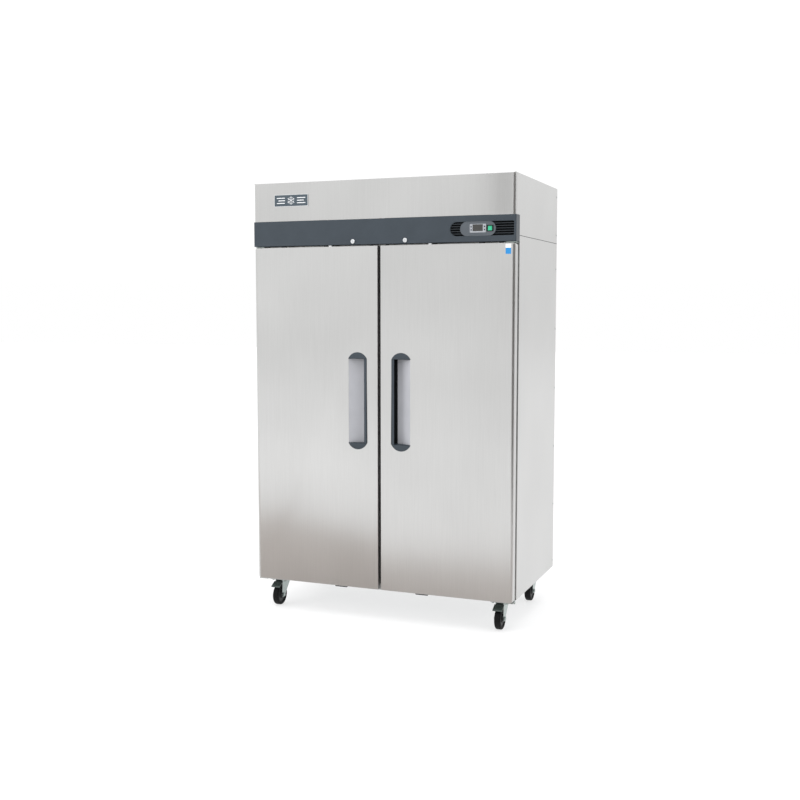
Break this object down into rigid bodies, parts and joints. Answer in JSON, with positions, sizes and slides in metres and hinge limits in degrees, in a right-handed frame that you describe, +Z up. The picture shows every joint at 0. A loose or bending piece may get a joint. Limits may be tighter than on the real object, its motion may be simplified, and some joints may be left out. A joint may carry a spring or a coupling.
{
  "type": "reach in refrigerator",
  "caption": "Upright double-door commercial refrigerator with a top-mounted cooling unit, recessed pulls, shelves and casters.",
  "frame": {"origin": "on the floor, under the middle of the object's box", "axes": "+Z up, +X to the right of someone facing the doors, +Y towards the back"},
  "size_m": [1.314, 0.767, 2.082],
  "materials": {
    "stainless": "brushed",
    "galvanised": "satin",
    "grey_plastic": "satin moulded",
    "light_plastic": "satin moulded",
    "white_plastic": "satin moulded",
    "foam": "foam",
    "gasket_rubber": "matte",
    "wheel_rubber": "matte",
    "zinc_steel": "zinc plated",
    "black_paint": "semi-gloss",
    "aluminium_fins": "satin",
    "green_plastic": "translucent gloss",
    "chrome": "polished",
    "shelf_coat": "epoxy coated"
  },
  "bodies": {
    "cabinet": {"base_pan": "galvanised", "back_panel": "galvanised", "top_deck": "galvanised", "insulation": "foam", "inner_liner": "stainless", "face_frame": "stainless", "hood_front": "stainless", "control_fascia": "grey_plastic", "temperature_controller": "light_plastic", "compressor": "black_paint", "condenser": "aluminium_fins", "fan_shroud": "galvanised", "electrical_box": "galvanised", "evaporator": "aluminium_fins", "evaporator_cover": "white_plastic", "led_light": "white_plastic", "side_panel_left": "stainless", "side_panel_right": "stainless", "hood_side_left": "stainless", "hood_side_right": "stainless", "hinge_bracket_top_left": "zinc_steel", "hinge_bracket_top_right": "zinc_steel", "hinge_bracket_bottom_left": "zinc_steel", "hinge_bracket_bottom_right": "zinc_steel"},
    "left_door": {"door_skin_left": "stainless", "door_liner_left": "white_plastic", "door_gasket_left": "gasket_rubber", "handle_bezel_left": "grey_plastic", "handle_pocket_left": "aluminium_fins"},
    "left_lock": {"lock_plug_left": "chrome"},
    "right_door": {"door_skin_right": "stainless", "door_liner_right": "white_plastic", "door_gasket_right": "gasket_rubber", "handle_bezel_right": "grey_plastic", "handle_pocket_right": "aluminium_fins"},
    "right_lock": {"lock_plug_right": "chrome"},
    "front_left_fork": {"caster_fork_front_left": "zinc_steel"},
    "front_left_wheel": {"caster_wheel_front_left": "wheel_rubber"},
    "front_left_pedal": {"brake_pedal_front_left": "zinc_steel"},
    "front_right_fork": {"caster_fork_front_right": "zinc_steel"},
    "front_right_wheel": {"caster_wheel_front_right": "wheel_rubber"},
    "front_right_pedal": {"brake_pedal_front_right": "zinc_steel"},
    "rear_left_fork": {"caster_fork_rear_left": "zinc_steel"},
    "rear_left_wheel": {"caster_wheel_rear_left": "wheel_rubber"},
    "rear_right_fork": {"caster_fork_rear_right": "zinc_steel"},
    "rear_right_wheel": {"caster_wheel_rear_right": "wheel_rubber"},
    "condenser_fan": {"condenser_fan": "aluminium_fins"},
    "left_evaporator_fan": {"evaporator_fan_left": "grey_plastic"},
    "right_evaporator_fan": {"evaporator_fan_right": "grey_plastic"},
    "rocker": {"rocker_switch": "green_plastic"},
    "set_key": {"key_set": "grey_plastic"},
    "up_key": {"key_up": "grey_plastic"},
    "defrost_key": {"key_defrost": "grey_plastic"},
    "down_key": {"key_down": "grey_plastic"},
    "left_shelf_1": {"shelf_left_1": "shelf_coat"},
    "left_shelf_2": {"shelf_left_2": "shelf_coat"},
    "left_shelf_3": {"shelf_left_3": "shelf_coat"},
    "right_shelf_1": {"shelf_right_1": "shelf_coat"},
    "right_shelf_2": {"shelf_right_2": "shelf_coat"},
    "right_shelf_3": {"shelf_right_3": "shelf_coat"}
  },
  "joints": [
    {"name": "left_door_hinge", "type": "hinge", "parent": "cabinet", "child": "left_door", "pos_m": [-0.637, -0.3565, 0.961], "axis": [0, 0, -1], "range_deg": [0, 120], "stiffness_Nm_per_rad": 1.5},
    {"name": "left_lock_turn", "type": "hinge", "parent": "cabinet", "child": "left_lock", "pos_m": [-0.131, -0.3785, 1.796], "axis": [0, -1, 0], "range_deg": [0, 90]},
    {"name": "right_door_hinge", "type": "hinge", "parent": "cabinet", "child": "right_door", "pos_m": [0.637, -0.3565, 0.961], "axis": [0, 0, 1], "range_deg": [0, 120], "stiffness_Nm_per_rad": 1.5},
    {"name": "right_lock_turn", "type": "hinge", "parent": "cabinet", "child": "right_lock", "pos_m": [0.131, -0.3785, 1.796], "axis": [0, 1, 0], "range_deg": [0, 90]},
    {"name": "front_left_swivel", "type": "hinge", "parent": "cabinet", "child": "front_left_fork", "pos_m": [-0.575, -0.2645, 0.12], "axis": [0, 0, 1], "continuous": true},
    {"name": "front_left_roll", "type": "hinge", "parent": "front_left_fork", "child": "front_left_wheel", "pos_m": [-0.575, -0.3025, 0.051], "axis": [1, 0, 0], "continuous": true},
    {"name": "front_left_brake", "type": "hinge", "parent": "front_left_fork", "child": "front_left_pedal", "pos_m": [-0.575, -0.3025, 0.119], "axis": [1, 0, 0], "range_deg": [0, 12]},
    {"name": "front_right_swivel", "type": "hinge", "parent": "cabinet", "child": "front_right_fork", "pos_m": [0.575, -0.2645, 0.12], "axis": [0, 0, 1], "continuous": true},
    {"name": "front_right_roll", "type": "hinge", "parent": "front_right_fork", "child": "front_right_wheel", "pos_m": [0.575, -0.3025, 0.051], "axis": [1, 0, 0], "continuous": true},
    {"name": "front_right_brake", "type": "hinge", "parent": "front_right_fork", "child": "front_right_pedal", "pos_m": [0.575, -0.3025, 0.119], "axis": [1, 0, 0], "range_deg": [0, 12]},
    {"name": "rear_left_swivel", "type": "hinge", "parent": "cabinet", "child": "rear_left_fork", "pos_m": [-0.575, 0.2695, 0.12], "axis": [0, 0, 1], "continuous": true},
    {"name": "rear_left_roll", "type": "hinge", "parent": "rear_left_fork", "child": "rear_left_wheel", "pos_m": [-0.575, 0.2315, 0.051], "axis": [1, 0, 0], "continuous": true},
    {"name": "rear_right_swivel", "type": "hinge", "parent": "cabinet", "child": "rear_right_fork", "pos_m": [0.575, 0.2695, 0.12], "axis": [0, 0, 1], "continuous": true},
    {"name": "rear_right_roll", "type": "hinge", "parent": "rear_right_fork", "child": "rear_right_wheel", "pos_m": [0.575, 0.2315, 0.051], "axis": [1, 0, 0], "continuous": true},
    {"name": "condenser_fan_spin", "type": "hinge", "parent": "cabinet", "child": "condenser_fan", "pos_m": [0.27, -0.1435, 1.927], "axis": [0, 1, 0], "continuous": true},
    {"name": "left_evaporator_fan_spin", "type": "hinge", "parent": "cabinet", "child": "left_evaporator_fan", "pos_m": [-0.165, 0.0485, 1.672], "axis": [0, 1, 0], "continuous": true},
    {"name": "right_evaporator_fan_spin", "type": "hinge", "parent": "cabinet", "child": "right_evaporator_fan", "pos_m": [0.165, 0.0485, 1.672], "axis": [0, 1, 0], "continuous": true},
    {"name": "rocker_tilt", "type": "hinge", "parent": "cabinet", "child": "rocker", "pos_m": [0.53575, -0.3765, 1.84], "axis": [1, 0, 0], "range_deg": [0, 14]},
    {"name": "set_key_press", "type": "slide", "parent": "cabinet", "child": "set_key", "axis": [0, 1, 0], "range_m": [0, 0.0015], "stiffness_N_per_m": 200},
    {"name": "up_key_press", "type": "slide", "parent": "cabinet", "child": "up_key", "axis": [0, 1, 0], "range_m": [0, 0.0015], "stiffness_N_per_m": 200},
    {"name": "defrost_key_press", "type": "slide", "parent": "cabinet", "child": "defrost_key", "axis": [0, 1, 0], "range_m": [0, 0.0015], "stiffness_N_per_m": 200},
    {"name": "down_key_press", "type": "slide", "parent": "cabinet", "child": "down_key", "axis": [0, 1, 0], "range_m": [0, 0.0015], "stiffness_N_per_m": 200},
    {"name": "left_shelf_1_lift", "type": "slide", "parent": "cabinet", "child": "left_shelf_1", "axis": [0, 0, 1], "range_m": [0, 0.03]},
    {"name": "left_shelf_2_lift", "type": "slide", "parent": "cabinet", "child": "left_shelf_2", "axis": [0, 0, 1], "range_m": [0, 0.03]},
    {"name": "left_shelf_3_lift", "type": "slide", "parent": "cabinet", "child": "left_shelf_3", "axis": [0, 0, 1], "range_m": [0, 0.03]},
    {"name": "right_shelf_1_lift", "type": "slide", "parent": "cabinet", "child": "right_shelf_1", "axis": [0, 0, 1], "range_m": [0, 0.03]},
    {"name": "right_shelf_2_lift", "type": "slide", "parent": "cabinet", "child": "right_shelf_2", "axis": [0, 0, 1], "range_m": [0, 0.03]},
    {"name": "right_shelf_3_lift", "type": "slide", "parent": "cabinet", "child": "right_shelf_3", "axis": [0, 0, 1], "range_m": [0, 0.03]}
  ]
}
